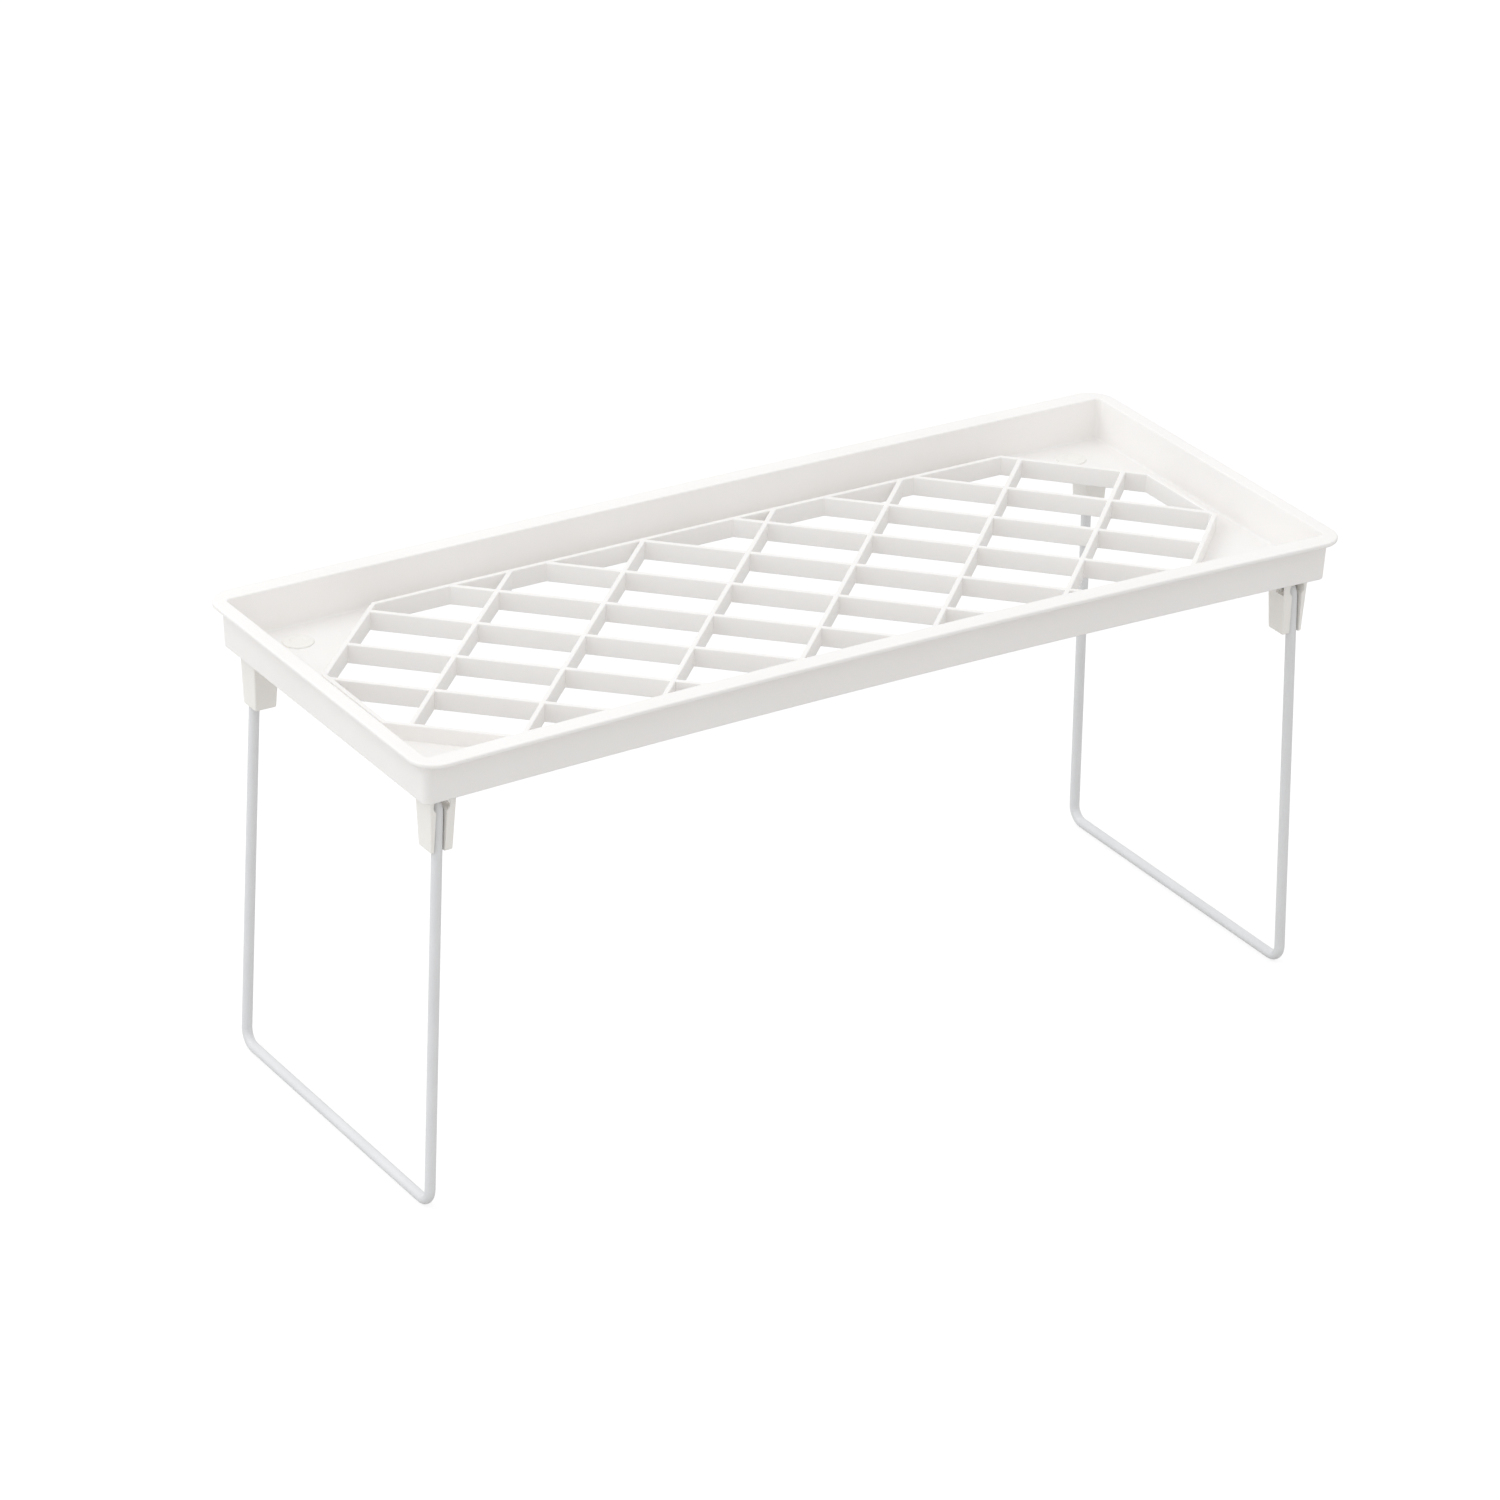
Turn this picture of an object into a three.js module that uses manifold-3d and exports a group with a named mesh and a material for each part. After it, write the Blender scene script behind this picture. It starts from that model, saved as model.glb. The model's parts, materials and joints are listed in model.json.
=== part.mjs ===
// A folding shelf riser: a shallow moulded tray with a lattice deck, which stands on two U-shaped
// wire legs. Each leg turns on its two bent-in ends, in sockets under the tray's corners.
// Millimetres, +Z up. The origin is on the ground, below the middle of the tray.

import * as THREE from 'three';
import { mergeVertices } from 'three/addons/utils/BufferGeometryUtils.js';
import Module from 'manifold-3d';

const wasm = await Module();
wasm.setup();

// Tray: the outside of its rim, wall and floor, all measured at the corners.
const TRAY_LENGTH = 400;
const TRAY_WIDTH = 165;
const RIM_TOP = 184.7;
const RIM_THICKNESS = 1.8;
const RIM_ROUNDING = 0.6;
const RIM_CORNER_RADIUS = 11;
const FLOOR_BOTTOM = 166.2;
const FLOOR_THICKNESS = 1.7;
const WALL_THICKNESS = 1.8;
const WALL_FOOT_HALF_LENGTH = 195.3;
const WALL_FOOT_HALF_WIDTH = 75.6;
const WALL_CORNER_RADIUS = 2.8;
const WALL_DRAFT = 0.8;
const CORNER_STEPS = 5;

// The tray is cambered: its middle is higher than its ends, and its long sides bow inwards.
const CAMBER_HEIGHT = 1.7;
const SIDE_BOW = 1.9;
const CAMBER_STATIONS = [-200, -150, -90, -30, 30, 90, 150, 200];

// Deck: diagonal ribs in an eight-sided opening. One family runs along x - y, one along x + y.
const RIB_THICKNESS = 2;
const RIB_DEPTH = 7.8;
const RIB_LENGTH = 420;
const STEEP_RIB_SPACING = 58.1;
const STEEP_RIB_COUNT = 6;
const FLAT_RIB_SPACING = 41.2;
const FLAT_RIB_COUNT = 9;
const OPENING_HALF_LENGTH = 182.6;
const OPENING_HALF_WIDTH = 65;

// Legs: 4 mm wire, splayed a little outwards when they stand.
const WIRE_RADIUS = 2;
const WIRE_SIDES = 14;
const PIVOT_X = 185.8;
const PIVOT_Z = 162.5;
const LEG_SPLAY = THREE.MathUtils.degToRad(1.5);
const LEG_TOP_HALF_WIDTH = 67.75;
const LEG_FOOT_HALF_WIDTH = 70.2;
const PIN_END_Y = 60.8;
const PIN_BEND_RADIUS = 4;
const FOOT_BEND_RADIUS = 6;
const BEND_STEPS = 6;

// Sockets: a block under each corner, a stop for the leg, and a lug with a peg through the floor.
const GAP = 0.3;
const SOCKET_INNER_X = 180.3;
const SOCKET_OUTER_X = 190;
const SOCKET_INNER_Y = 60.3;
const SOCKET_BODY_Y = 65.45;
const SOCKET_OUTER_Y = 70.3;
const SOCKET_BOTTOM = 143.7;
const SOCKET_TOP = 166;
const SOCKET_CAP_BOTTOM = 164.8;
const STOP_INNER_X = 188.6;
const BORE_RADIUS = WIRE_RADIUS + GAP;
const BORE_LENGTH = 30;
const MOUTH_RADIUS = 3.4;
const MOUTH_DEPTH = 2.2;
const LUG_END_X = 172;
const LUG_Y = 60.35;
const LUG_HALF_WIDTH = 5;
const LUG_THICKNESS = 2;
const PEG_RADIUS = 2.8;
const PEG_HEAD_RADIUS = 6;
const PEG_HEAD_BOTTOM = 168.8;
const PEG_HEAD_THICKNESS = 0.9;
const ROUND_SIDES = 24;

// How far a cutting solid runs past the face it cuts, and how close a point counts as on a plane.
const OVERRUN = 1;
const EPSILON = 1e-4;
const SIGNS = [-1, 1];

// Solids and booleans

function toSolid(geometry) {
  geometry.deleteAttribute('normal');
  geometry.deleteAttribute('uv');
  const merged = mergeVertices(geometry);
  return new wasm.Manifold(new wasm.Mesh({
    numProp: 3,
    vertProperties: new Float32Array(merged.attributes.position.array),
    triVerts: new Uint32Array(merged.index.array),
  }));
}

function toTriangles(solid) {
  const mesh = solid.getMesh();
  const corner = (index) => new THREE.Vector3().fromArray(mesh.vertProperties, index * mesh.numProp);
  const triangles = [];
  for (let first = 0; first < mesh.triVerts.length; first += 3) {
    triangles.push([0, 1, 2].map((offset) => corner(mesh.triVerts[first + offset])));
  }
  return triangles;
}

function toGeometry(triangles) {
  const geometry = new THREE.BufferGeometry().setFromPoints(triangles.flat());
  const merged = mergeVertices(geometry);
  merged.computeVertexNormals();
  return merged;
}

function upright(radius, x, y, bottom, top) {
  const cylinder = new THREE.CylinderGeometry(radius, radius, top - bottom, ROUND_SIDES);
  return cylinder.rotateX(Math.PI / 2).translate(x, y, (bottom + top) / 2);
}

function prism(outline, bottom, top) {
  const options = { depth: top - bottom, bevelEnabled: false };
  return new THREE.ExtrudeGeometry(new THREE.Shape(outline), options).translate(0, 0, bottom);
}

// Tray

function roundedRectangle(halfLength, halfWidth, radius) {
  const outline = [];
  for (const [cornerIndex, [signX, signY]] of [[1, 1], [-1, 1], [-1, -1], [1, -1]].entries()) {
    for (let step = 0; step <= CORNER_STEPS; step += 1) {
      const angle = (cornerIndex + step / CORNER_STEPS) * Math.PI / 2;
      const x = signX * (halfLength - radius) + radius * Math.cos(angle);
      const y = signY * (halfWidth - radius) + radius * Math.sin(angle);
      outline.push(new THREE.Vector2(x, y));
    }
  }
  return outline;
}

// A block with rounded corners whose sides lean out by the draft from its foot to its top.
function draftedBlock(halfLength, halfWidth, radius, bottom, top, draft) {
  const geometry = prism(roundedRectangle(halfLength, halfWidth, radius), bottom, top);
  const position = geometry.attributes.position;
  for (let index = 0; index < position.count; index += 1) {
    const lean = draft * (position.getZ(index) - bottom) / (top - bottom);
    position.setX(index, position.getX(index) + Math.sign(position.getX(index)) * lean);
    position.setY(index, position.getY(index) + Math.sign(position.getY(index)) * lean);
  }
  return geometry;
}

function rim() {
  const outline = roundedRectangle(
    TRAY_LENGTH / 2 - RIM_ROUNDING,
    TRAY_WIDTH / 2 - RIM_ROUNDING,
    RIM_CORNER_RADIUS - RIM_ROUNDING,
  );
  const flange = new THREE.ExtrudeGeometry(new THREE.Shape(outline), {
    depth: RIM_THICKNESS - 2 * RIM_ROUNDING,
    bevelThickness: RIM_ROUNDING,
    bevelSize: RIM_ROUNDING,
    bevelSegments: 2,
  });
  return flange.translate(0, 0, RIM_TOP - RIM_THICKNESS + RIM_ROUNDING);
}

// The opening's eight sides, moved outwards by grow. Its corners are cut along the outermost ribs.
function openingOutline(grow) {
  const halfLength = OPENING_HALF_LENGTH + grow;
  const halfWidth = OPENING_HALF_WIDTH + grow;
  const steepCut = STEEP_RIB_SPACING * (STEEP_RIB_COUNT + 1) / 2 + grow * Math.SQRT2;
  const flatCut = FLAT_RIB_SPACING * (FLAT_RIB_COUNT + 1) / 2 + grow * Math.SQRT2;
  const half = [
    new THREE.Vector2(halfLength, halfLength - steepCut),
    new THREE.Vector2(halfLength, flatCut - halfLength),
    new THREE.Vector2(flatCut - halfWidth, halfWidth),
    new THREE.Vector2(halfWidth - steepCut, halfWidth),
  ];
  return [...half, ...half.map((point) => point.clone().negate())];
}

// Ribs across the opening. Slope 1 runs along the line y = x, and slope -1 along y = -x.
function ribFamily(count, spacing, slope) {
  const ribs = [];
  for (let index = 0; index < count; index += 1) {
    const offset = (index - (count - 1) / 2) * spacing / 2;
    const rib = new THREE.BoxGeometry(RIB_LENGTH, RIB_THICKNESS, RIB_DEPTH);
    rib.rotateZ(slope * Math.PI / 4);
    ribs.push(rib.translate(offset, -slope * offset, FLOOR_BOTTOM + RIB_DEPTH / 2));
  }
  return ribs;
}

function lattice() {
  const ribTop = FLOOR_BOTTOM + RIB_DEPTH;
  const edge = toSolid(prism(openingOutline(RIB_THICKNESS / 2), FLOOR_BOTTOM, ribTop));
  const hole = toSolid(prism(openingOutline(-RIB_THICKNESS / 2), FLOOR_BOTTOM - OVERRUN, ribTop + OVERRUN));
  const crossing = [
    ...ribFamily(STEEP_RIB_COUNT, STEEP_RIB_SPACING, 1),
    ...ribFamily(FLAT_RIB_COUNT, FLAT_RIB_SPACING, -1),
  ];
  const ribs = crossing.map(toSolid).reduce((joined, rib) => joined.add(rib));
  return edge.subtract(hole).add(ribs.intersect(edge));
}

function side(point, planeX) {
  return Math.abs(point.x - planeX) < EPSILON ? 0 : Math.sign(point.x - planeX);
}

// The ends are put in order first, so that both triangles on an edge get the same point.
function crossingPoint(start, end, planeX) {
  const [low, high] = start.x < end.x ? [start, end] : [end, start];
  const point = low.clone().lerp(high, (planeX - low.x) / (high.x - low.x));
  return point.setX(planeX);
}

function fan(outline) {
  return outline.slice(2).map((point, index) => [outline[0], outline[index + 1], point]);
}

function splitTriangle(triangle, planeX) {
  const outline = [];
  triangle.forEach((corner, index) => {
    const next = triangle[(index + 1) % 3];
    outline.push(corner);
    if (side(corner, planeX) * side(next, planeX) < 0) {
      outline.push(crossingPoint(corner, next, planeX));
    }
  });
  if (outline.length === 3) {
    return [triangle];
  }
  return SIGNS.flatMap((sign) => fan(outline.filter((point) => sign * side(point, planeX) >= 0)));
}

// Camber at x, from 1 at mid-span to 0 at the ends, in straight stretches between the stations.
function camber(x) {
  const last = CAMBER_STATIONS.length - 1;
  const next = Math.min(Math.max(CAMBER_STATIONS.findIndex((station) => station >= x), 1), last);
  const [low, high] = [CAMBER_STATIONS[next - 1], CAMBER_STATIONS[next]];
  const height = (station) => 1 - (station / CAMBER_STATIONS[last]) ** 2;
  return THREE.MathUtils.lerp(height(low), height(high), (x - low) / (high - low));
}

function bend(solid) {
  const inner = CAMBER_STATIONS.slice(1, -1);
  const cut = (triangles, planeX) => triangles.flatMap((triangle) => splitTriangle(triangle, planeX));
  const geometry = toGeometry(inner.reduce(cut, toTriangles(solid)));
  const position = geometry.attributes.position;
  for (let index = 0; index < position.count; index += 1) {
    const amount = camber(position.getX(index));
    const y = position.getY(index);
    position.setY(index, y * (1 - amount * SIDE_BOW * 2 / TRAY_WIDTH));
    position.setZ(index, position.getZ(index) + amount * CAMBER_HEIGHT);
  }
  return geometry;
}

function trayGeometry() {
  const wallTop = RIM_TOP - RIM_THICKNESS / 2;
  const floorTop = FLOOR_BOTTOM + FLOOR_THICKNESS;
  const innerHeight = RIM_TOP + OVERRUN - floorTop;
  const innerDraft = WALL_DRAFT * innerHeight / (wallTop - FLOOR_BOTTOM);
  const outside = toSolid(draftedBlock(
    WALL_FOOT_HALF_LENGTH, WALL_FOOT_HALF_WIDTH, WALL_CORNER_RADIUS, FLOOR_BOTTOM, wallTop, WALL_DRAFT,
  ));
  const inside = toSolid(draftedBlock(
    WALL_FOOT_HALF_LENGTH - WALL_THICKNESS,
    WALL_FOOT_HALF_WIDTH - WALL_THICKNESS,
    WALL_CORNER_RADIUS - WALL_THICKNESS / 2,
    floorTop,
    RIM_TOP + OVERRUN,
    innerDraft,
  ));
  const opening = toSolid(prism(openingOutline(0), FLOOR_BOTTOM - OVERRUN, floorTop + OVERRUN));
  const flat = outside.add(toSolid(rim())).subtract(inside).subtract(opening).add(lattice());
  let tray = toSolid(bend(flat));
  for (const signX of SIGNS) {
    for (const signY of SIGNS) {
      const [x, y] = [signX * LUG_END_X, signY * LUG_Y];
      tray = tray.subtract(toSolid(upright(PEG_RADIUS + GAP, x, y, SOCKET_TOP, PEG_HEAD_BOTTOM)));
    }
  }
  return toGeometry(toTriangles(tray));
}

// Sockets

// A block in one corner's quarter, from its distances x = [near, far] and y = [near, far].
function between(signX, signY, x, y, bottom, top) {
  const middle = [(x[0] + x[1]) / 2 * signX, (y[0] + y[1]) / 2 * signY, (bottom + top) / 2];
  return new THREE.BoxGeometry(x[1] - x[0], y[1] - y[0], top - bottom).translate(...middle);
}

// The bore for the leg's end, with a conical mouth that leaves room for the bend in the wire.
function socketBore(signX, signY) {
  const bore = new THREE.CylinderGeometry(BORE_RADIUS, BORE_RADIUS, BORE_LENGTH, ROUND_SIDES);
  bore.translate(signX * PIVOT_X, signY * SOCKET_BODY_Y, PIVOT_Z);
  const widest = 2 * MOUTH_RADIUS - BORE_RADIUS;
  const mouth = new THREE.CylinderGeometry(widest, BORE_RADIUS, 2 * MOUTH_DEPTH, ROUND_SIDES);
  if (signY < 0) {
    mouth.rotateX(Math.PI);
  }
  mouth.translate(signX * PIVOT_X, signY * SOCKET_BODY_Y, PIVOT_Z);
  return toSolid(bore).add(toSolid(mouth));
}

function socketGeometry(signX, signY) {
  const reachX = [SOCKET_INNER_X, SOCKET_OUTER_X];
  const reachY = [SOCKET_INNER_Y, SOCKET_OUTER_Y];
  const lugX = signX * LUG_END_X;
  const lugY = signY * LUG_Y;
  const lugBottom = SOCKET_TOP - LUG_THICKNESS;
  const headTop = PEG_HEAD_BOTTOM + PEG_HEAD_THICKNESS;
  const lugSide = [LUG_Y - LUG_HALF_WIDTH, LUG_Y + LUG_HALF_WIDTH];
  const body = between(signX, signY, reachX, [SOCKET_INNER_Y, SOCKET_BODY_Y], SOCKET_BOTTOM, SOCKET_TOP);
  const joined = [
    between(signX, signY, [STOP_INNER_X, SOCKET_OUTER_X], reachY, SOCKET_BOTTOM, SOCKET_TOP),
    between(signX, signY, reachX, reachY, SOCKET_CAP_BOTTOM, SOCKET_TOP),
    between(signX, signY, [LUG_END_X, SOCKET_INNER_X + GAP], lugSide, lugBottom, SOCKET_TOP),
    upright(LUG_HALF_WIDTH, lugX, lugY, lugBottom, SOCKET_TOP),
    upright(PEG_RADIUS, lugX, lugY, lugBottom, headTop),
    upright(PEG_HEAD_RADIUS, lugX, lugY, PEG_HEAD_BOTTOM, headTop),
  ];
  const solid = joined.map(toSolid).reduce((socket, piece) => socket.add(piece), toSolid(body));
  return toGeometry(toTriangles(solid.subtract(socketBore(signX, signY))));
}

// Legs

// A wire's centre line as straight stretches and round bends, with one step along each straight.
class WirePath extends THREE.Curve {
  constructor(stations) {
    super();
    this.stations = stations;
  }

  getPoint(share, target = new THREE.Vector3()) {
    const place = share * (this.stations.length - 1);
    const index = Math.min(Math.floor(place), this.stations.length - 2);
    return target.lerpVectors(this.stations[index], this.stations[index + 1], place - index);
  }

  getUtoTmapping(share) {
    return share;
  }
}

function roundBend(before, corner, after, radius) {
  const arriving = new THREE.Vector3().subVectors(corner, before).normalize();
  const leaving = new THREE.Vector3().subVectors(after, corner).normalize();
  const turn = arriving.angleTo(leaving);
  const axis = new THREE.Vector3().crossVectors(arriving, leaving).normalize();
  const start = corner.clone().addScaledVector(arriving, -radius * Math.tan(turn / 2));
  const inward = new THREE.Vector3().crossVectors(axis, arriving);
  const centre = start.clone().addScaledVector(inward, radius);
  const points = [];
  for (let step = 0; step <= BEND_STEPS; step += 1) {
    const arm = start.clone().sub(centre).applyAxisAngle(axis, turn * step / BEND_STEPS);
    points.push(arm.add(centre));
  }
  return points;
}

function wireSection() {
  const outline = [];
  for (let step = 0; step < WIRE_SIDES; step += 1) {
    const angle = 2 * Math.PI * step / WIRE_SIDES;
    outline.push(new THREE.Vector2(Math.cos(angle), Math.sin(angle)).multiplyScalar(WIRE_RADIUS));
  }
  return new THREE.Shape(outline);
}

// The leg hangs from its pivot at the local origin, in the plane x = 0.
function legGeometry() {
  const length = (PIVOT_Z - WIRE_RADIUS) / Math.cos(LEG_SPLAY);
  const corners = [
    new THREE.Vector3(0, PIN_END_Y, 0),
    new THREE.Vector3(0, LEG_TOP_HALF_WIDTH, 0),
    new THREE.Vector3(0, LEG_FOOT_HALF_WIDTH, -length),
    new THREE.Vector3(0, -LEG_FOOT_HALF_WIDTH, -length),
    new THREE.Vector3(0, -LEG_TOP_HALF_WIDTH, 0),
    new THREE.Vector3(0, -PIN_END_Y, 0),
  ];
  const radii = [PIN_BEND_RADIUS, FOOT_BEND_RADIUS, FOOT_BEND_RADIUS, PIN_BEND_RADIUS];
  const bends = radii.flatMap((radius, index) => (
    roundBend(corners[index], corners[index + 1], corners[index + 2], radius)
  ));
  const stations = [corners[0], ...bends, corners[corners.length - 1]];
  return new THREE.ExtrudeGeometry(wireSection(), {
    steps: stations.length - 1,
    extrudePath: new WirePath(stations),
  });
}

// Assembly

const trayPlastic = { color: 0xf5f3f0, roughness: 0.42, metalness: 0 };
const socketPlastic = { color: 0xf0ede2, roughness: 0.45, metalness: 0 };
const wireCoating = { color: 0xe8ebee, roughness: 0.35, metalness: 0 };

function named(name, geometry, finish) {
  const mesh = new THREE.Mesh(geometry, new THREE.MeshStandardMaterial(finish));
  mesh.name = name;
  return mesh;
}

const riser = new THREE.Group();
riser.add(named('tray', trayGeometry(), trayPlastic));

for (const [signX, end] of [[-1, 'left'], [1, 'right']]) {
  for (const [signY, edge] of [[-1, 'front'], [1, 'back']]) {
    riser.add(named(`leg_socket_${edge}_${end}`, socketGeometry(signX, signY), socketPlastic));
  }
  const leg = named(`wire_leg_${end}`, legGeometry(), wireCoating);
  leg.position.set(signX * PIVOT_X, 0, PIVOT_Z);
  leg.rotation.y = -signX * LEG_SPLAY;
  riser.add(leg);
}

export default riser;
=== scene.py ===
import json
import math

import bmesh
import bpy
from mathutils import Matrix, Vector


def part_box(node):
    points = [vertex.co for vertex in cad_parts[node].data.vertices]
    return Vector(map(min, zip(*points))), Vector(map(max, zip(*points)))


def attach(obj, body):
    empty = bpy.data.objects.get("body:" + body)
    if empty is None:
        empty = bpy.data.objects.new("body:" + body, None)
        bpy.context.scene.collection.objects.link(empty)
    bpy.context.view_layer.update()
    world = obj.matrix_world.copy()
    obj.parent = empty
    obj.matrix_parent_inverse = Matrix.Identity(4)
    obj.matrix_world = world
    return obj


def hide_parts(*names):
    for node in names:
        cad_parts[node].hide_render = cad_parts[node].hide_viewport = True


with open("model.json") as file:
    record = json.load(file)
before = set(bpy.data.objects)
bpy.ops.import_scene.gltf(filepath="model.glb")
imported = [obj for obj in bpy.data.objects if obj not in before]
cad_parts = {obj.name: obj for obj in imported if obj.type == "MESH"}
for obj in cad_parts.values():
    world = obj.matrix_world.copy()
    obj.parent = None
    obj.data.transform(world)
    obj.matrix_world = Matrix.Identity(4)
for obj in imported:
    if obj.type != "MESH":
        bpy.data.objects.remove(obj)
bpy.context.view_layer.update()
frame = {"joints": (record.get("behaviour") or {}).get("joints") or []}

# The tray's shell: one moulding of white polypropylene, with a flat floor round an eight-sided
# opening, a wall that leans out a little for the mould, and a thin flat lip with rounded edges.
MM = 0.001
tray_low, tray_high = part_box("tray")
floor_bottom = tray_low.z
floor_top = floor_bottom + 1.7 * MM
foot_half_length = 195.3 * MM
foot_half_width = 75.6 * MM
foot_corner = 2.8 * MM
foot_rounding = 0.7 * MM
wall_thickness = 1.8 * MM
wall_slope = 0.8 / 17.6
wall_fillet = 1.2 * MM
floor_edge_length = foot_half_length - wall_thickness - wall_fillet
floor_edge_width = foot_half_width - wall_thickness - wall_fillet
floor_edge_corner = 0.7 * MM
inner_corner = floor_edge_corner + wall_fillet
lip_half_length = tray_high.x
lip_half_width = 82.5 * MM
lip_corner = 11 * MM
lip_top = 184.7 * MM
lip_thickness = 1.8 * MM
lip_rounding = 0.6 * MM
lip_shoulder = lip_top - lip_rounding
lip_root_height = lip_top - lip_thickness
lip_root_fillet = 0.5 * MM
opening_half_length = 182.6 * MM
opening_half_width = 65 * MM
opening_steep_cut = 203.35 * MM
opening_flat_cut = 206 * MM
corner_steps = 8
plate_steps = 4
long_steps = 22
short_steps = 6
arc_angles = [math.radians(degrees) for degrees in (0, 30, 60, 90)]


def side_shares(first, second, middle_steps):
    """Shares along a straight side, closer together where the opening's cut corners begin."""
    before = [first * step / plate_steps for step in range(1, plate_steps)]
    middle = [first + (second - first) * step / middle_steps for step in range(middle_steps + 1)]
    after = [second + (1 - second) * step / plate_steps for step in range(1, plate_steps)]
    return before + middle + after


long_reach = floor_edge_length - floor_edge_corner
short_reach = floor_edge_width - floor_edge_corner
shares = [
    side_shares(
        (long_reach - opening_flat_cut + opening_half_width) / (2 * long_reach),
        (long_reach - opening_half_width + opening_steep_cut) / (2 * long_reach),
        long_steps,
    ),
    side_shares(
        (short_reach - opening_steep_cut + opening_half_length) / (2 * short_reach),
        (short_reach + opening_flat_cut - opening_half_length) / (2 * short_reach),
        short_steps,
    ),
]


def wall_ring(half_length, half_width, corner, height):
    """One level line round the tray: four rounded corners with points along the straight sides."""
    corners = []
    for turn, (sign_x, sign_y) in enumerate([(1, 1), (-1, 1), (-1, -1), (1, -1)]):
        middle = Vector((sign_x * (half_length - corner), sign_y * (half_width - corner), height))
        angles = [(turn + step / corner_steps) * math.pi / 2 for step in range(corner_steps + 1)]
        arc = [middle + corner * Vector((math.cos(angle), math.sin(angle), 0)) for angle in angles]
        corners.append(arc)
    ring = []
    for turn, arc in enumerate(corners):
        following = corners[(turn + 1) % len(corners)][0]
        ring += arc
        ring += [arc[-1].lerp(following, share) for share in shares[turn % 2]]
    return ring


def opening_corners(height):
    """The opening's eight corners, anticlockwise from the back end of its right side."""
    half = [
        Vector((opening_half_length, opening_flat_cut - opening_half_length, height)),
        Vector((opening_flat_cut - opening_half_width, opening_half_width, height)),
        Vector((opening_half_width - opening_steep_cut, opening_half_width, height)),
        Vector((-opening_half_length, opening_steep_cut - opening_half_length, height)),
    ]
    return half + [Vector((-point.x, -point.y, point.z)) for point in half]


def opening_ring(height, floor_line):
    """The opening's outline, with a point for each point of the floor's outer line."""
    outline = opening_corners(height)
    stops = []
    for turn in range(4):
        start = turn * (corner_steps + 1) + sum(len(shares[past % 2]) for past in range(turn))
        stops.append(start - plate_steps)
        stops.append(start + corner_steps + plate_steps)
    count = len(floor_line)
    ring = [None] * count
    for place, stop in enumerate(stops):
        ahead = stops[(place + 1) % len(stops)]
        steps = (ahead - stop) % count
        line = [floor_line[(stop + step) % count] for step in range(steps + 1)]
        reach = [0.0]
        for near, far in zip(line, line[1:]):
            reach.append(reach[-1] + (far - near).length)
        begin = outline[place]
        end = outline[(place + 1) % len(outline)]
        for step in range(steps):
            ring[(stop + step) % count] = begin.lerp(end, reach[step] / reach[-1])
    return ring


def outer_offset(height):
    """How far the wall's outer face leans out at a height."""
    return (height - floor_bottom) * wall_slope


def inner_offset(height):
    """The same for the wall's inner face, measured from the outer face's foot."""
    return (height - floor_top) * wall_slope - wall_thickness


def new_piece(name, work):
    """A new object with the worked mesh, in the scene."""
    mesh = bpy.data.meshes.new(name)
    work.to_mesh(mesh)
    work.free()
    piece = bpy.data.objects.new(name, mesh)
    bpy.context.scene.collection.objects.link(piece)
    return piece


# Level lines, from the floor's edge up the inner wall, round the lip and down the outer wall.
levels = []
for angle in arc_angles:
    out = wall_fillet * math.sin(angle)
    height = floor_top + wall_fillet * (1 - math.cos(angle))
    levels.append((floor_edge_length + out, floor_edge_width + out, floor_edge_corner + out, height))
for angle in arc_angles:
    offset = inner_offset(lip_shoulder) + lip_rounding * (1 - math.cos(angle))
    height = lip_shoulder + lip_rounding * math.sin(angle)
    levels.append((foot_half_length + offset, foot_half_width + offset, inner_corner, height))
for start_height, upwards, angles in (
    (lip_shoulder, 1, reversed(arc_angles)),
    (lip_root_height + lip_rounding, -1, arc_angles),
):
    for angle in angles:
        back = lip_rounding * (1 - math.cos(angle))
        height = start_height + upwards * lip_rounding * math.sin(angle)
        levels.append((lip_half_length - back, lip_half_width - back, lip_corner - back, height))
for angle in arc_angles:
    offset = outer_offset(lip_root_height) + lip_root_fillet * (1 - math.sin(angle))
    height = lip_root_height - lip_root_fillet * (1 - math.cos(angle))
    levels.append((foot_half_length + offset, foot_half_width + offset, foot_corner + offset, height))
for angle in reversed(arc_angles):
    offset = -foot_rounding * (1 - math.sin(angle))
    height = floor_bottom + foot_rounding * (1 - math.cos(angle))
    levels.append((foot_half_length + offset, foot_half_width + offset, foot_corner + offset, height))

rings = [wall_ring(*level) for level in levels]
rings.insert(0, opening_ring(floor_top, rings[0]))
rings.append(opening_ring(floor_bottom, rings[1]))
shell = bmesh.new()
ring_points = [[shell.verts.new(point) for point in ring] for ring in rings]
for low_ring, high_ring in zip(ring_points, ring_points[1:] + ring_points[:1]):
    for place in range(len(low_ring)):
        shell.faces.new((low_ring[place - 1], low_ring[place], high_ring[place], high_ring[place - 1]))
bmesh.ops.recalc_face_normals(shell, faces=shell.faces)
tray = new_piece("tray_moulding", shell)


def link(tree, source, output, target, entry):
    tree.links.new(source.outputs[output], target.inputs[entry])


def new_finish(name):
    """A new material, and the shader that it is set with."""
    material = bpy.data.materials.new(name)
    material.use_nodes = True
    return material, material.node_tree.nodes["Principled BSDF"]


def clouds(material, scale, detail, roughness):
    """A noise that is fixed to the piece."""
    tree = material.node_tree
    place = tree.nodes.new("ShaderNodeTexCoord")
    noise = tree.nodes.new("ShaderNodeTexNoise")
    noise.inputs["Scale"].default_value = scale
    noise.inputs["Detail"].default_value = detail
    noise.inputs["Roughness"].default_value = roughness
    link(tree, place, "Object", noise, "Vector")
    return noise


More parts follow.
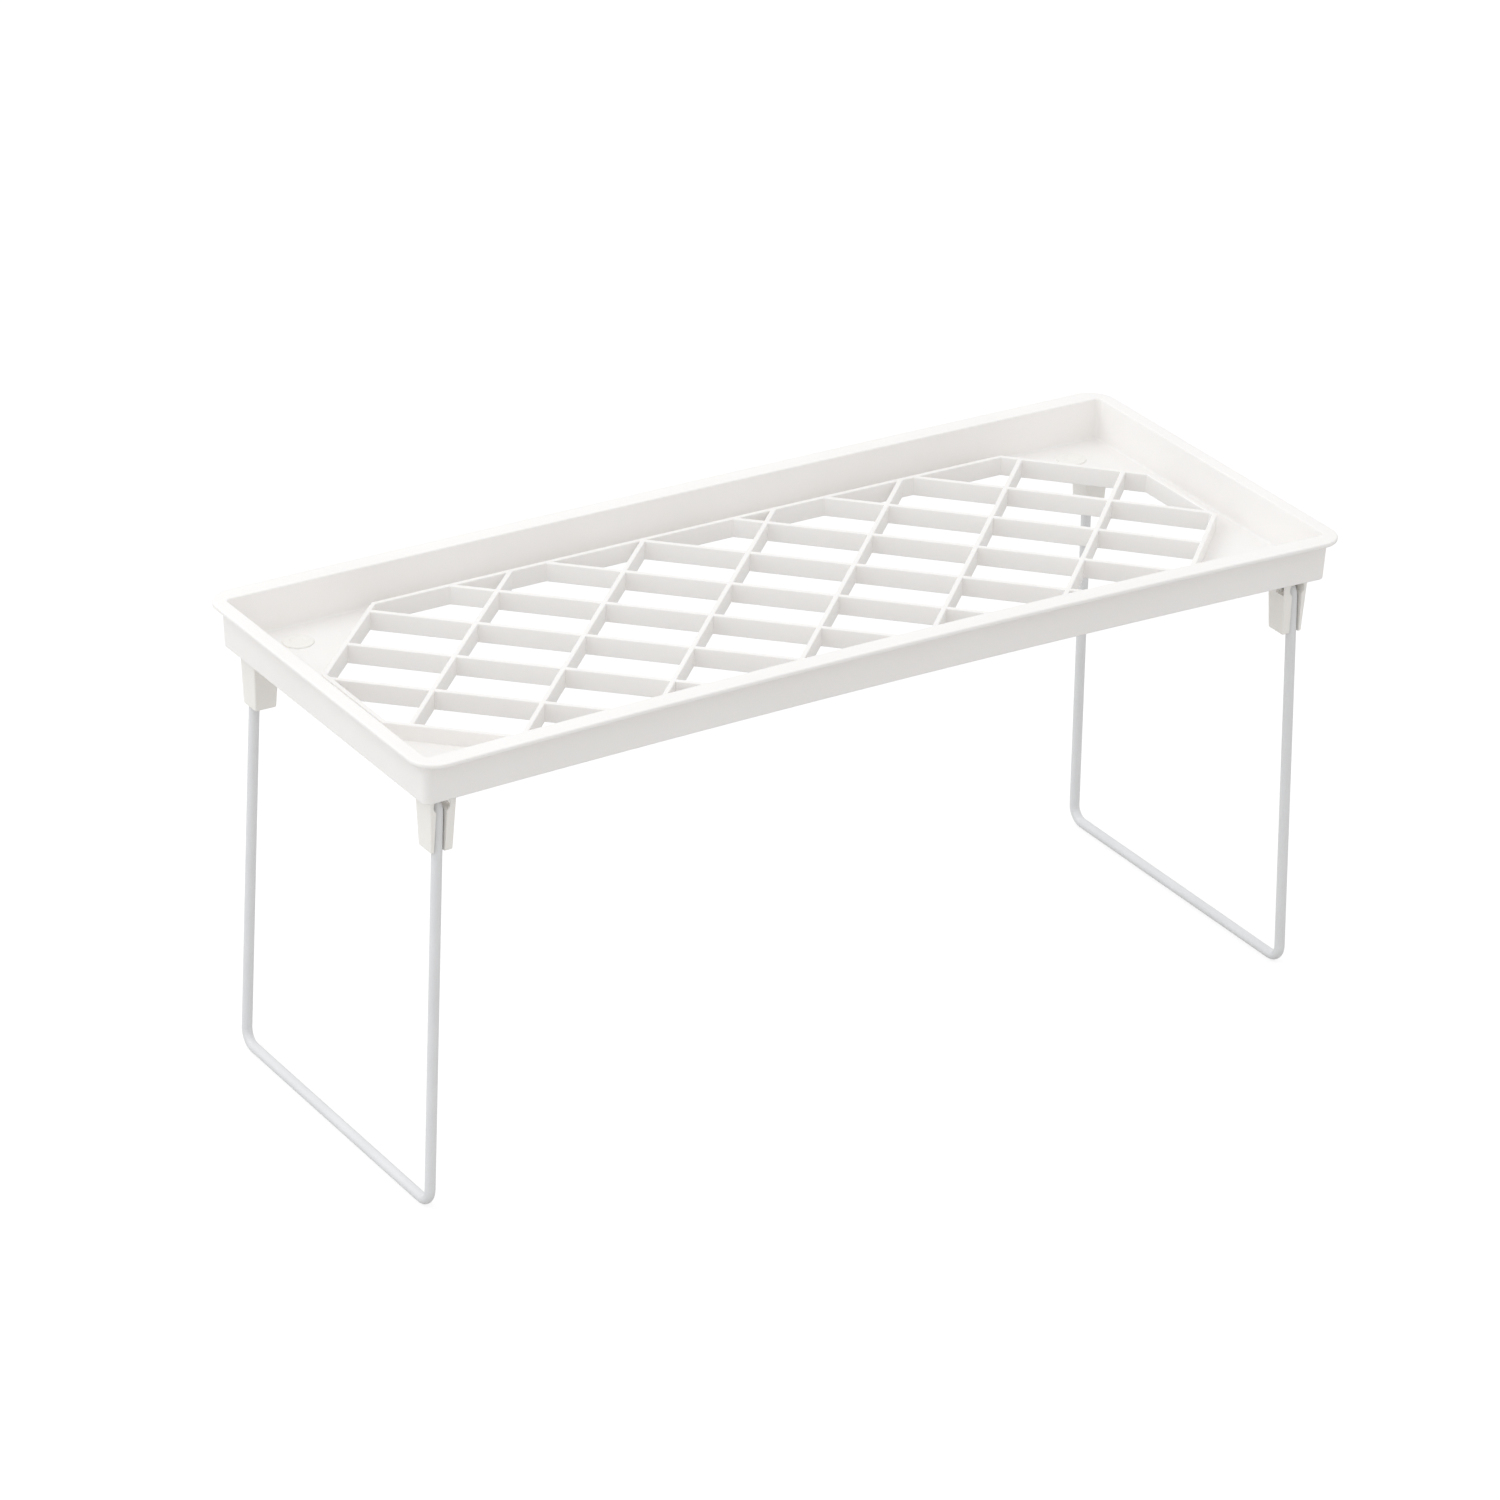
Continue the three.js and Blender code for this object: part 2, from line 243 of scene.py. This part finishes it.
def vary_tone(material, shader, noise, dark, light):
    """Lets the colour wander between two close tones."""
    tree = material.node_tree
    tones = tree.nodes.new("ShaderNodeValToRGB")
    tones.color_ramp.elements[0].position = 0.3
    tones.color_ramp.elements[0].color = (*dark, 1)
    tones.color_ramp.elements[1].position = 0.7
    tones.color_ramp.elements[1].color = (*light, 1)
    link(tree, noise, "Fac", tones, "Fac")
    link(tree, tones, "Color", shader, "Base Color")


def vary_gloss(material, shader, noise, start, end):
    """Lets the roughness wander between two values."""
    tree = material.node_tree
    gloss = tree.nodes.new("ShaderNodeMapRange")
    gloss.inputs["To Min"].default_value = start
    gloss.inputs["To Max"].default_value = end
    link(tree, noise, "Fac", gloss, "Value")
    link(tree, gloss, "Result", shader, "Roughness")


def raise_grain(material, shader, noise, strength, depth):
    """Raises the noise as a fine relief."""
    tree = material.node_tree
    bump = tree.nodes.new("ShaderNodeBump")
    bump.inputs["Strength"].default_value = strength
    bump.inputs["Distance"].default_value = depth
    link(tree, noise, "Fac", bump, "Height")
    link(tree, bump, "Normal", shader, "Normal")


def moulded_plastic(name, light, dark, roughness, peel_scale):
    """Satin moulded plastic: faint clouding in its tone and gloss, and a very fine orange peel."""
    material, shader = new_finish(name)
    shader.inputs["IOR"].default_value = 1.49
    shader.inputs["Subsurface Weight"].default_value = 0.08
    shader.inputs["Subsurface Radius"].default_value = (1.2, 1.1, 0.9)
    shader.inputs["Subsurface Scale"].default_value = 1 * MM
    tone = clouds(material, scale=22.0, detail=4.0, roughness=0.55)
    vary_tone(material, shader, tone, dark, light)
    smears = clouds(material, scale=90.0, detail=3.0, roughness=0.6)
    vary_gloss(material, shader, smears, *roughness)
    peel = clouds(material, scale=peel_scale, detail=2.0, roughness=0.5)
    raise_grain(material, shader, peel, strength=0.12, depth=0.08 * MM)
    return material


tray_plastic = moulded_plastic(
    "white_polypropylene",
    light=(0.945, 0.928, 0.912),
    dark=(0.92, 0.902, 0.885),
    roughness=(0.34, 0.46),
    peel_scale=900.0,
)
tray.data.materials.append(tray_plastic)

# The deck's lattice: upright ribs of the same moulding. Six steep ribs cross nine flatter ones,
# all end in the rib round the opening, and their edges are slightly rounded to leave the mould.
rib_thickness = 2 * MM
rib_height = 7.8 * MM
rib_height_step = 0.06 * MM
rib_rounding = 0.4 * MM
rib_rounding_steps = 3
rib_cuts = 24
rib_middle = floor_bottom + rib_height / 2
steep_spacing = 58.1 * MM
steep_count = 6
flat_spacing = 41.2 * MM
flat_count = 9
merge_distance = 0.002 * MM
FRAME_RIB = 0
STEEP_RIB = 1
FLAT_RIB = 2


def rib_ends(offset, slope, outline):
    """Where the line y = slope * x + offset meets the opening's outline."""
    ends = []
    for near, far in zip(outline, outline[1:] + outline[:1]):
        near_side = near.y - slope * near.x - offset
        far_side = far.y - slope * far.x - offset
        if (near_side > 0) != (far_side > 0):
            ends.append(near.lerp(far, near_side / (near_side - far_side)))
    return ends


def new_tree(name, entries, outcome):
    """An empty tree with named entries and one outcome, and the node that gives the entries."""
    tree = bpy.data.node_groups.new(name, "GeometryNodeTree")
    for label, kind in entries.items():
        tree.interface.new_socket(label, in_out="INPUT", socket_type=f"NodeSocket{kind}")
    tree.interface.new_socket(outcome, in_out="OUTPUT", socket_type="NodeSocketGeometry")
    return tree, tree.nodes.new("NodeGroupInput")


def kept_value(tree, name, kind):
    """Reads a value that the layout keeps on its points or edges."""
    reader = tree.nodes.new("GeometryNodeInputNamedAttribute")
    reader.data_type = kind
    reader.inputs["Name"].default_value = name
    return reader


def finish_tree(tree, given, maker, paint):
    """Makes the maker's mesh real, gives it its material and passes it out of the tree."""
    realized = tree.nodes.new("GeometryNodeRealizeInstances")
    link(tree, maker, "Mesh", realized, "Geometry")
    painted = tree.nodes.new("GeometryNodeSetMaterial")
    link(tree, realized, "Geometry", painted, "Geometry")
    link(tree, given, paint, painted, "Material")
    result = tree.nodes.new("NodeGroupOutput")
    link(tree, painted, "Geometry", result, 0)


def bake(piece):
    """Works the modifiers into the piece's own mesh and takes them off."""
    graph = bpy.context.evaluated_depsgraph_get()
    mesh = bpy.data.meshes.new_from_object(piece.evaluated_get(graph))
    piece.modifiers.clear()
    piece.data = mesh


def grow(piece, tree, values):
    """Runs a tree on the piece with these values, and keeps what it makes as the piece's mesh."""
    modifier = piece.modifiers.new(tree.name, "NODES")
    modifier.node_group = tree
    for item in tree.interface.items_tree:
        if item.item_type == "SOCKET" and item.in_out == "INPUT" and item.name in values:
            modifier[item.identifier] = values[item.name]
    bake(piece)


def rib_section(tree, given, kind):
    """A rib's rounded section. Each kind is a step lower than the last, so that none are flush."""
    lower = tree.nodes.new("ShaderNodeMath")
    lower.operation = "MULTIPLY_ADD"
    link(tree, given, "Height step", lower, 0)
    lower.inputs[1].default_value = -1 - kind
    link(tree, given, "Rib height", lower, 2)
    section = tree.nodes.new("GeometryNodeCurvePrimitiveQuadrilateral")
    link(tree, given, "Rib thickness", section, "Width")
    link(tree, lower, "Value", section, "Height")
    rounded = tree.nodes.new("GeometryNodeFilletCurve")
    rounded.mode = "POLY"
    link(tree, section, "Curve", rounded, "Curve")
    link(tree, given, "Rounding steps", rounded, "Count")
    link(tree, given, "Edge rounding", rounded, "Radius")
    return rounded


def rib_lines(tree, given, kind):
    """The layout's lines for one kind of rib, cut into short stretches."""
    first_whole_number = 2
    second_whole_number = 3
    same = tree.nodes.new("FunctionNodeCompare")
    same.data_type = "INT"
    same.operation = "EQUAL"
    link(tree, kept_value(tree, "family", "INT"), "Attribute", same, first_whole_number)
    same.inputs[second_whole_number].default_value = kind
    chosen = tree.nodes.new("GeometryNodeSeparateGeometry")
    chosen.domain = "EDGE"
    link(tree, given, "Layout", chosen, "Geometry")
    link(tree, same, "Result", chosen, "Selection")
    line = tree.nodes.new("GeometryNodeMeshToCurve")
    link(tree, chosen, "Selection", line, "Mesh")
    stretches = tree.nodes.new("GeometryNodeSubdivideCurve")
    link(tree, line, "Curve", stretches, "Curve")
    link(tree, given, "Cuts", stretches, "Cuts")
    return stretches


def lattice_tree():
    """Ribs of one rounded section along every line of the layout, joined where they cross."""
    tree, given = new_tree("Lattice ribs", {
        "Layout": "Geometry",
        "Rib thickness": "Float",
        "Rib height": "Float",
        "Height step": "Float",
        "Edge rounding": "Float",
        "Rounding steps": "Int",
        "Cuts": "Int",
        "Plastic": "Material",
    }, "Ribs")
    union = tree.nodes.new("GeometryNodeMeshBoolean")
    union.operation = "UNION"
    union.solver = "EXACT"
    for kind in (FRAME_RIB, STEEP_RIB, FLAT_RIB):
        ribs = tree.nodes.new("GeometryNodeCurveToMesh")
        ribs.inputs["Fill Caps"].default_value = True
        link(tree, rib_lines(tree, given, kind), "Curve", ribs, "Curve")
        link(tree, rib_section(tree, given, kind), "Curve", ribs, "Profile Curve")
        link(tree, ribs, "Mesh", union, "Mesh 2")
    finish_tree(tree, given, union, "Plastic")
    return tree


def clean(piece):
    """Merges the doubled points and takes out the faces without area that a cut can leave."""
    work = bmesh.new()
    work.from_mesh(piece.data)
    bmesh.ops.remove_doubles(work, verts=work.verts, dist=merge_distance)
    bmesh.ops.dissolve_degenerate(work, edges=work.edges, dist=merge_distance)
    work.to_mesh(piece.data)
    work.free()


def combine(piece, tool, operation):
    """Joins the tool to the piece, or cuts it away, and takes the tool out of the scene."""
    boolean = piece.modifiers.new(operation, "BOOLEAN")
    boolean.operation = operation
    boolean.solver = "EXACT"
    boolean.object = tool
    bake(piece)
    bpy.data.objects.remove(tool)
    clean(piece)


outline = opening_corners(rib_middle)
layout = bmesh.new()
family_layer = layout.edges.layers.int.new("family")
frame_points = [layout.verts.new(point) for point in outline]
for place, point in enumerate(frame_points):
    layout.edges.new((frame_points[place - 1], point))[family_layer] = FRAME_RIB
for kind, slope, spacing, count in (
    (STEEP_RIB, 1, steep_spacing, steep_count),
    (FLAT_RIB, -1, flat_spacing, flat_count),
):
    for place in range(count):
        offset = (place - (count - 1) / 2) * spacing
        ends = [layout.verts.new(point) for point in rib_ends(offset, slope, outline)]
        layout.edges.new(ends)[family_layer] = kind
lattice = new_piece("deck_lattice", layout)
grow(lattice, lattice_tree(), {
    "Rib thickness": rib_thickness,
    "Rib height": rib_height,
    "Height step": rib_height_step,
    "Edge rounding": rib_rounding,
    "Rounding steps": rib_rounding_steps,
    "Cuts": rib_cuts,
    "Plastic": tray_plastic,
})
combine(tray, lattice, "UNION")

# The whole moulding: its corner plates are pierced for the sockets' pegs. Cooling has pulled it
# into a slight arch along its length, and has drawn its long sides in at the middle.
arch_height = 1.66 * MM
side_bow = 1.9 * MM
peg_x = 172 * MM
peg_y = 60.35 * MM
peg_radius = 2.8 * MM
peg_gap = 0.3 * MM
drill_depth = 8 * MM
drill_sides = 32
SIDES = ((-1, "left"), (1, "right"))
EDGES = ((-1, "front"), (1, "back"))


def arch_share(x):
    """Full at the tray's middle, and nothing at its two ends."""
    return 1 - (x / lip_half_length) ** 2


def narrowing(x):
    """How much of its width the tray keeps at a place along its length."""
    return 1 - arch_share(x) * side_bow / lip_half_width


def smooth(piece, sharp_above):
    """Smooth shading that keeps the real edges, weighted so that flat faces stay flat."""
    for face in piece.data.polygons:
        face.use_smooth = True
    piece.data.set_sharp_from_angle(angle=math.radians(sharp_above))
    weighted = piece.modifiers.new("Flat faces", "WEIGHTED_NORMAL")
    weighted.keep_sharp = True
    weighted.weight = 100
    bake(piece)


for sign_x, end in SIDES:
    for sign_y, edge in EDGES:
        drill = bmesh.new()
        hole_radius = peg_radius + peg_gap
        middle = (sign_x * peg_x, sign_y * peg_y / narrowing(peg_x), floor_top)
        bmesh.ops.create_cone(
            drill, cap_ends=True, segments=drill_sides, radius1=hole_radius, radius2=hole_radius,
            depth=drill_depth, matrix=Matrix.Translation(middle),
        )
        combine(tray, new_piece("drill", drill), "DIFFERENCE")
for point in tray.data.vertices:
    place = point.co.copy()
    point.co.y = place.y * narrowing(place.x)
    point.co.z = place.z + arch_share(place.x) * arch_height
smooth(tray, sharp_above=38)
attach(tray, "shelf")
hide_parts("tray")

# The leg sockets: four small mouldings of a slightly yellower plastic. Each is a block with a bore
# for the leg's pin, a groove between two posts for the standing leg and a small window for the
# folded one. A lug with a headed peg holds it to the tray's corner plate.
socket_inner_x = 179.8 * MM
socket_outer_x = 190.7 * MM
socket_inner_y = 59.8 * MM
socket_outer_y = 71 * MM
socket_bottom = 143.7 * MM
socket_top = 166.3 * MM
socket_draft = 1 * MM
socket_rounding = 0.7 * MM
groove_inner_x = 183.55 * MM
groove_outer_x = 188.05 * MM
groove_y = 65.45 * MM
groove_top = 164.8 * MM
groove_rounding = 1.6 * MM
groove_reach = 10 * MM
window_bottom = 160.2 * MM
window_outer_y = 70.1 * MM
leg_splay = math.radians(1.5)
bore_radius = 2.3 * MM
bore_depth = 16 * MM
mouth_radius = 3.4 * MM
mouth_depth = 2.2 * MM
mouth_reach = 6 * MM
lug_half_width = 5 * MM
lug_bottom = socket_top - 2 * MM
lug_top = socket_top - 0.05 * MM
head_bottom = 168.2 * MM
head_top = 169 * MM
head_radius = 6 * MM
head_edge = 0.45 * MM
head_shoulder = 0.12 * MM
head_shoulder_drop = 0.2 * MM
head_crown_drop = 0.06 * MM
dish_rim = 0.5 * MM
dish_side = 0.2 * MM
dish_side_depth = 0.22 * MM
dish_floor = 0.4 * MM
dish_depth = 0.25 * MM
worn_edge = 0.14 * MM
overrun = 1 * MM
turning_steps = 36
pivot_x = abs(frame["joints"][0]["pos_m"][0])
pivot_z = frame["joints"][0]["pos_m"][2]
socket_plastic = moulded_plastic(
    "warm_white_plastic",
    light=(0.925, 0.908, 0.872),
    dark=(0.90, 0.882, 0.842),
    roughness=(0.36, 0.5),
    peel_scale=1100.0,
)


def block(low, high, draft=0.0, rounding=0.0, rounded=None):
    """A box between two corners. Its foot is smaller by the draft, and the chosen edges are round."""
    work = bmesh.new()
    bmesh.ops.create_cube(work, size=1)
    low, high = Vector(low), Vector(high)
    for point in work.verts:
        lean = draft if point.co.z < 0 else 0
        x = low.x + lean if point.co.x < 0 else high.x - lean
        y = low.y + lean if point.co.y < 0 else high.y - lean
        point.co = (x, y, low.z if point.co.z < 0 else high.z)
    if rounding:
        edges = [edge for edge in work.edges if rounded(edge, low, high)]
        bmesh.ops.bevel(work, geom=edges, offset=rounding, segments=4, affect="EDGES", profile=0.5)
    return work


def below_top(edge, low, high):
    """Every edge of a block but the four round its top."""
    return min(point.co.z for point in edge.verts) < (low.z + high.z) / 2


def deep_edges(edge, low, high):
    """The upright edges of a groove's cutter that lie deepest in the block."""
    near, far = edge.verts
    return max(near.co.y, far.co.y) < (low.y + high.y) / 2 and abs(near.co.z - far.co.z) > overrun


def turned(profile, at, axis="Z"):
    """A solid turned from a profile of (radius, height) pairs that starts and ends on its axis."""
    work = bmesh.new()
    angles = [2 * math.pi * step / turning_steps for step in range(turning_steps)]
    rows = []
    for radius, height in profile:
        if radius == 0:
            rows.append([work.verts.new((0, 0, height))] * turning_steps)
            continue
        circle = [work.verts.new((radius * math.cos(a), radius * math.sin(a), height)) for a in angles]
        rows.append(circle)
    for low_row, high_row in zip(rows, rows[1:]):
        for step in range(turning_steps):
            corners = [low_row[step - 1], low_row[step], high_row[step], high_row[step - 1]]
            work.faces.new(list(dict.fromkeys(corners)))
    if axis == "Y":
        work.transform(Matrix.Rotation(-math.pi / 2, 4, "X"))
    work.transform(Matrix.Translation(at))
    bmesh.ops.recalc_face_normals(work, faces=work.faces)
    return work


lug_end_profile = [
    (0, lug_bottom),
    (lug_half_width, lug_bottom),
    (lug_half_width, lug_top),
    (0, lug_top),
]
peg_profile = [
    (0, floor_bottom - overrun),
    (peg_radius, floor_bottom - overrun),
    (peg_radius, head_bottom),
    (head_radius, head_bottom),
    (head_radius, head_top - head_edge),
    (head_radius - head_shoulder, head_top - head_shoulder_drop),
    (head_radius - head_edge, head_top - head_crown_drop),
    (peg_radius + dish_rim, head_top),
    (peg_radius + dish_side, head_top - dish_side_depth),
    (peg_radius - dish_floor, head_top - dish_depth),
    (0, head_top - dish_depth),
]
bore_profile = [
    (0, -bore_depth),
    (bore_radius, -bore_depth),
    (bore_radius, -mouth_depth),
    (mouth_radius, 0),
    (mouth_radius, mouth_reach),
    (0, mouth_reach),
]


def pegged_block(name):
    """The back right socket's block, with its lug and its headed peg."""
    socket = new_piece(name, block(
        (socket_inner_x, socket_inner_y, socket_bottom),
        (socket_outer_x, socket_outer_y, socket_top),
        socket_draft, socket_rounding, below_top,
    ))
    lug = new_piece("lug", block(
        (peg_x, peg_y - lug_half_width, lug_bottom),
        (socket_inner_x + overrun, peg_y + lug_half_width, lug_top),
    ))
    combine(socket, lug, "UNION")
    combine(socket, new_piece("lug_end", turned(lug_end_profile, (peg_x, peg_y, 0))), "UNION")
    combine(socket, new_piece("peg", turned(peg_profile, (peg_x, peg_y, 0))), "UNION")
    return socket


def cut_for_leg(socket):
    """Cuts the groove, which leans with the leg, then the folded leg's window and the pin's bore."""
    groove = block(
        (groove_inner_x, groove_y, socket_bottom - overrun),
        (groove_outer_x, socket_outer_y + groove_reach, groove_top),
        rounding=groove_rounding, rounded=deep_edges,
    )
    to_pivot = Matrix.Translation((pivot_x, 0, pivot_z))
    groove.transform(to_pivot @ Matrix.Rotation(-leg_splay, 4, "Y") @ to_pivot.inverted())
    combine(socket, new_piece("groove", groove), "DIFFERENCE")
    window = new_piece("window", block(
        (socket_inner_x - overrun, groove_y, window_bottom),
        (pivot_x, window_outer_y, groove_top),
    ))
    combine(socket, window, "DIFFERENCE")
    bore = new_piece("bore", turned(bore_profile, (pivot_x, groove_y, pivot_z), "Y"))
    combine(socket, bore, "DIFFERENCE")


for sign_x, end in SIDES:
    for sign_y, edge in EDGES:
        socket = pegged_block(f"socket_{edge}_{end}")
        cut_for_leg(socket)
        for point in socket.data.vertices:
            point.co.x *= sign_x
            point.co.y *= sign_y
        if sign_x * sign_y < 0:
            socket.data.flip_normals()
        bevel = socket.modifiers.new("Worn mould edges", "BEVEL")
        bevel.width = worn_edge
        bevel.segments = 2
        bevel.limit_method = "ANGLE"
        bevel.angle_limit = math.radians(50)
        bake(socket)
        clean(socket)
        smooth(socket, sharp_above=35)
        socket.data.materials.clear()
        socket.data.materials.append(socket_plastic)
        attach(socket, "shelf")
        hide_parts(f"leg_socket_{edge}_{end}")

# The legs: each one length of 4 mm steel wire, bent into a U whose ends turn in to make the
# hinge pins, and coated in a thin, slightly cool white powder.
wire_radius = 2 * MM
leg_top_half_width = 67.75 * MM
leg_foot_half_width = 70.2 * MM
pin_end_y = 60.8 * MM
pin_bend = 4 * MM
foot_bend = 6 * MM
wire_sides = 28
bend_steps = 10
leg_drop = pivot_z - wire_radius
leg_lean = leg_drop * math.tan(leg_splay)


def wire_tree():
    """A round wire along a line, bent at each of the line's corners to the radius kept there."""
    tree, given = new_tree("Bent wire", {
        "Line": "Geometry",
        "Wire radius": "Float",
        "Sides": "Int",
        "Bend steps": "Int",
        "Coating": "Material",
    }, "Wire")
    line = tree.nodes.new("GeometryNodeMeshToCurve")
    link(tree, given, "Line", line, "Mesh")
    bent = tree.nodes.new("GeometryNodeFilletCurve")
    bent.mode = "POLY"
    link(tree, line, "Curve", bent, "Curve")
    link(tree, given, "Bend steps", bent, "Count")
    link(tree, kept_value(tree, "bend_radius", "FLOAT"), "Attribute", bent, "Radius")
    section = tree.nodes.new("GeometryNodeCurvePrimitiveCircle")
    link(tree, given, "Sides", section, "Resolution")
    link(tree, given, "Wire radius", section, "Radius")
    wire = tree.nodes.new("GeometryNodeCurveToMesh")
    wire.inputs["Fill Caps"].default_value = True
    link(tree, bent, "Curve", wire, "Curve")
    link(tree, section, "Curve", wire, "Profile Curve")
    finish_tree(tree, given, wire, "Coating")
    return tree


def powder_coating():
    """Cool white powder coating: a fine pebbled skin, a little glossier on its high spots."""
    material, shader = new_finish("cool_white_powder_coating")
    shader.inputs["IOR"].default_value = 1.5
    shader.inputs["Coat Weight"].default_value = 0.15
    shader.inputs["Coat Roughness"].default_value = 0.25
    patches = clouds(material, scale=60.0, detail=3.0, roughness=0.5)
    vary_tone(material, shader, patches, dark=(0.75, 0.757, 0.768), light=(0.78, 0.787, 0.798))
    pebbles = clouds(material, scale=1600.0, detail=2.0, roughness=0.5)
    vary_gloss(material, shader, pebbles, start=0.46, end=0.3)
    raise_grain(material, shader, pebbles, strength=0.2, depth=0.06 * MM)
    return material


# Half a leg's line, measured from the pivot: x, y and z of each corner, and the bend there.
half_line = [
    (0, pin_end_y, 0, 0),
    (0, leg_top_half_width, 0, pin_bend),
    (leg_lean, leg_foot_half_width, -leg_drop, foot_bend),
]
leg_line = half_line + [(x, -y, z, bend) for x, y, z, bend in reversed(half_line)]
leg_coating = powder_coating()
leg_bender = wire_tree()
for sign_x, end in SIDES:
    line = bmesh.new()
    bend_layer = line.verts.layers.float.new("bend_radius")
    previous = None
    for x, y, z, bend in leg_line:
        point = line.verts.new((sign_x * (pivot_x + x), y, pivot_z + z))
        point[bend_layer] = bend
        if previous:
            line.edges.new((previous, point))
        previous = point
    leg = new_piece(f"leg_wire_{end}", line)
    grow(leg, leg_bender, {
        "Wire radius": wire_radius,
        "Sides": wire_sides,
        "Bend steps": bend_steps,
        "Coating": leg_coating,
    })
    smooth(leg, sharp_above=40)
    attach(leg, f"{end}_leg")
    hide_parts(f"wire_leg_{end}")

# The stage: a wide pale floor that glows a little, as a lit sweep does, so that it stays white.
# The light that falls on the object doesn't come from it.
sheet_half_size = 30


def ground_sheet(name, height, paint_name, colour):
    """A level sheet in a dull paint, far wider than the object."""
    work = bmesh.new()
    bmesh.ops.create_grid(work, x_segments=1, y_segments=1, size=sheet_half_size)
    bmesh.ops.translate(work, verts=work.verts, vec=(0, 0, height))
    sheet = new_piece(name, work)
    paint, shader = new_finish(paint_name)
    shader.inputs["Base Color"].default_value = (*colour, 1)
    shader.inputs["Roughness"].default_value = 0.9
    sheet.data.materials.append(paint)
    return sheet


stage_floor = ground_sheet("stage_floor", 0, "pale_floor", (0.3, 0.3, 0.3))
floor_shader = stage_floor.active_material.node_tree.nodes["Principled BSDF"]
floor_shader.inputs["Specular IOR Level"].default_value = 0.0
floor_shader.inputs["Emission Color"].default_value = (1, 1, 1, 1)
floor_shader.inputs["Emission Strength"].default_value = 0.75
stage_floor.visible_diffuse = False
stage_floor.visible_glossy = False
stage_floor.visible_shadow = False

# A grey card just under the floor, which only the object sees. It throws less light up than the
# room throws down, so that the underside and the outer walls are darker than the top.
card_height = -1 * MM
stage_card = ground_sheet("stage_card", card_height, "grey_card", (0.62, 0.61, 0.6))
stage_card.visible_camera = False

# The light: an even pale room, one large soft lamp above and behind on the left, and a weaker
# one low down on the left that reaches under the tray.
room = bpy.data.worlds.new("studio")
room.use_nodes = True
room.node_tree.nodes["Background"].inputs["Color"].default_value = (1, 1, 1, 1)
room.node_tree.nodes["Background"].inputs["Strength"].default_value = 0.92
bpy.context.scene.world = room
lit_point = Vector((0, 0, 0.17))
lamp_colour = (0.93, 0.97, 1)
for name, place, width, watts in (
    ("high_lamp", Vector((-1.5, 0.75, 2.0)), 1.6, 12),
    ("low_lamp", Vector((-2.4, 0.1, 0.3)), 1.4, 4.5),
):
    lamp_data = bpy.data.lights.new(name, "AREA")
    lamp_data.shape = "DISK"
    lamp_data.size = width
    lamp_data.energy = watts
    lamp_data.color = lamp_colour
    lamp = bpy.data.objects.new(name, lamp_data)
    lamp.location = place
    lamp.rotation_mode = "QUATERNION"
    lamp.rotation_quaternion = (lit_point - place).to_track_quat("-Z", "Y")
    bpy.context.scene.collection.objects.link(lamp)

# The camera stands off the front left corner and looks down on the deck through a long lens.
camera_data = bpy.data.cameras.new("camera")
camera_data.sensor_width = 36
camera_data.lens = 150.8
camera_data.clip_start = 0.05
camera_data.clip_end = 100
camera = bpy.data.objects.new("camera", camera_data)
look_at = Vector((0.0138, 0.0414, 0.0875))
distance = 2.4123
azimuth = math.radians(-32.76)
elevation = math.radians(26.29)
roll = math.radians(1.57)
backwards = Vector((
    math.sin(azimuth) * math.cos(elevation),
    -math.cos(azimuth) * math.cos(elevation),
    math.sin(elevation),
))
camera.location = look_at + backwards * distance
camera.rotation_mode = "QUATERNION"
level = (-backwards).to_track_quat("-Z", "Y")
camera.rotation_quaternion = level @ Matrix.Rotation(roll, 3, "Z").to_quaternion()
bpy.context.scene.collection.objects.link(camera)
bpy.context.scene.camera = camera
bpy.context.scene.view_settings.view_transform = "Standard"
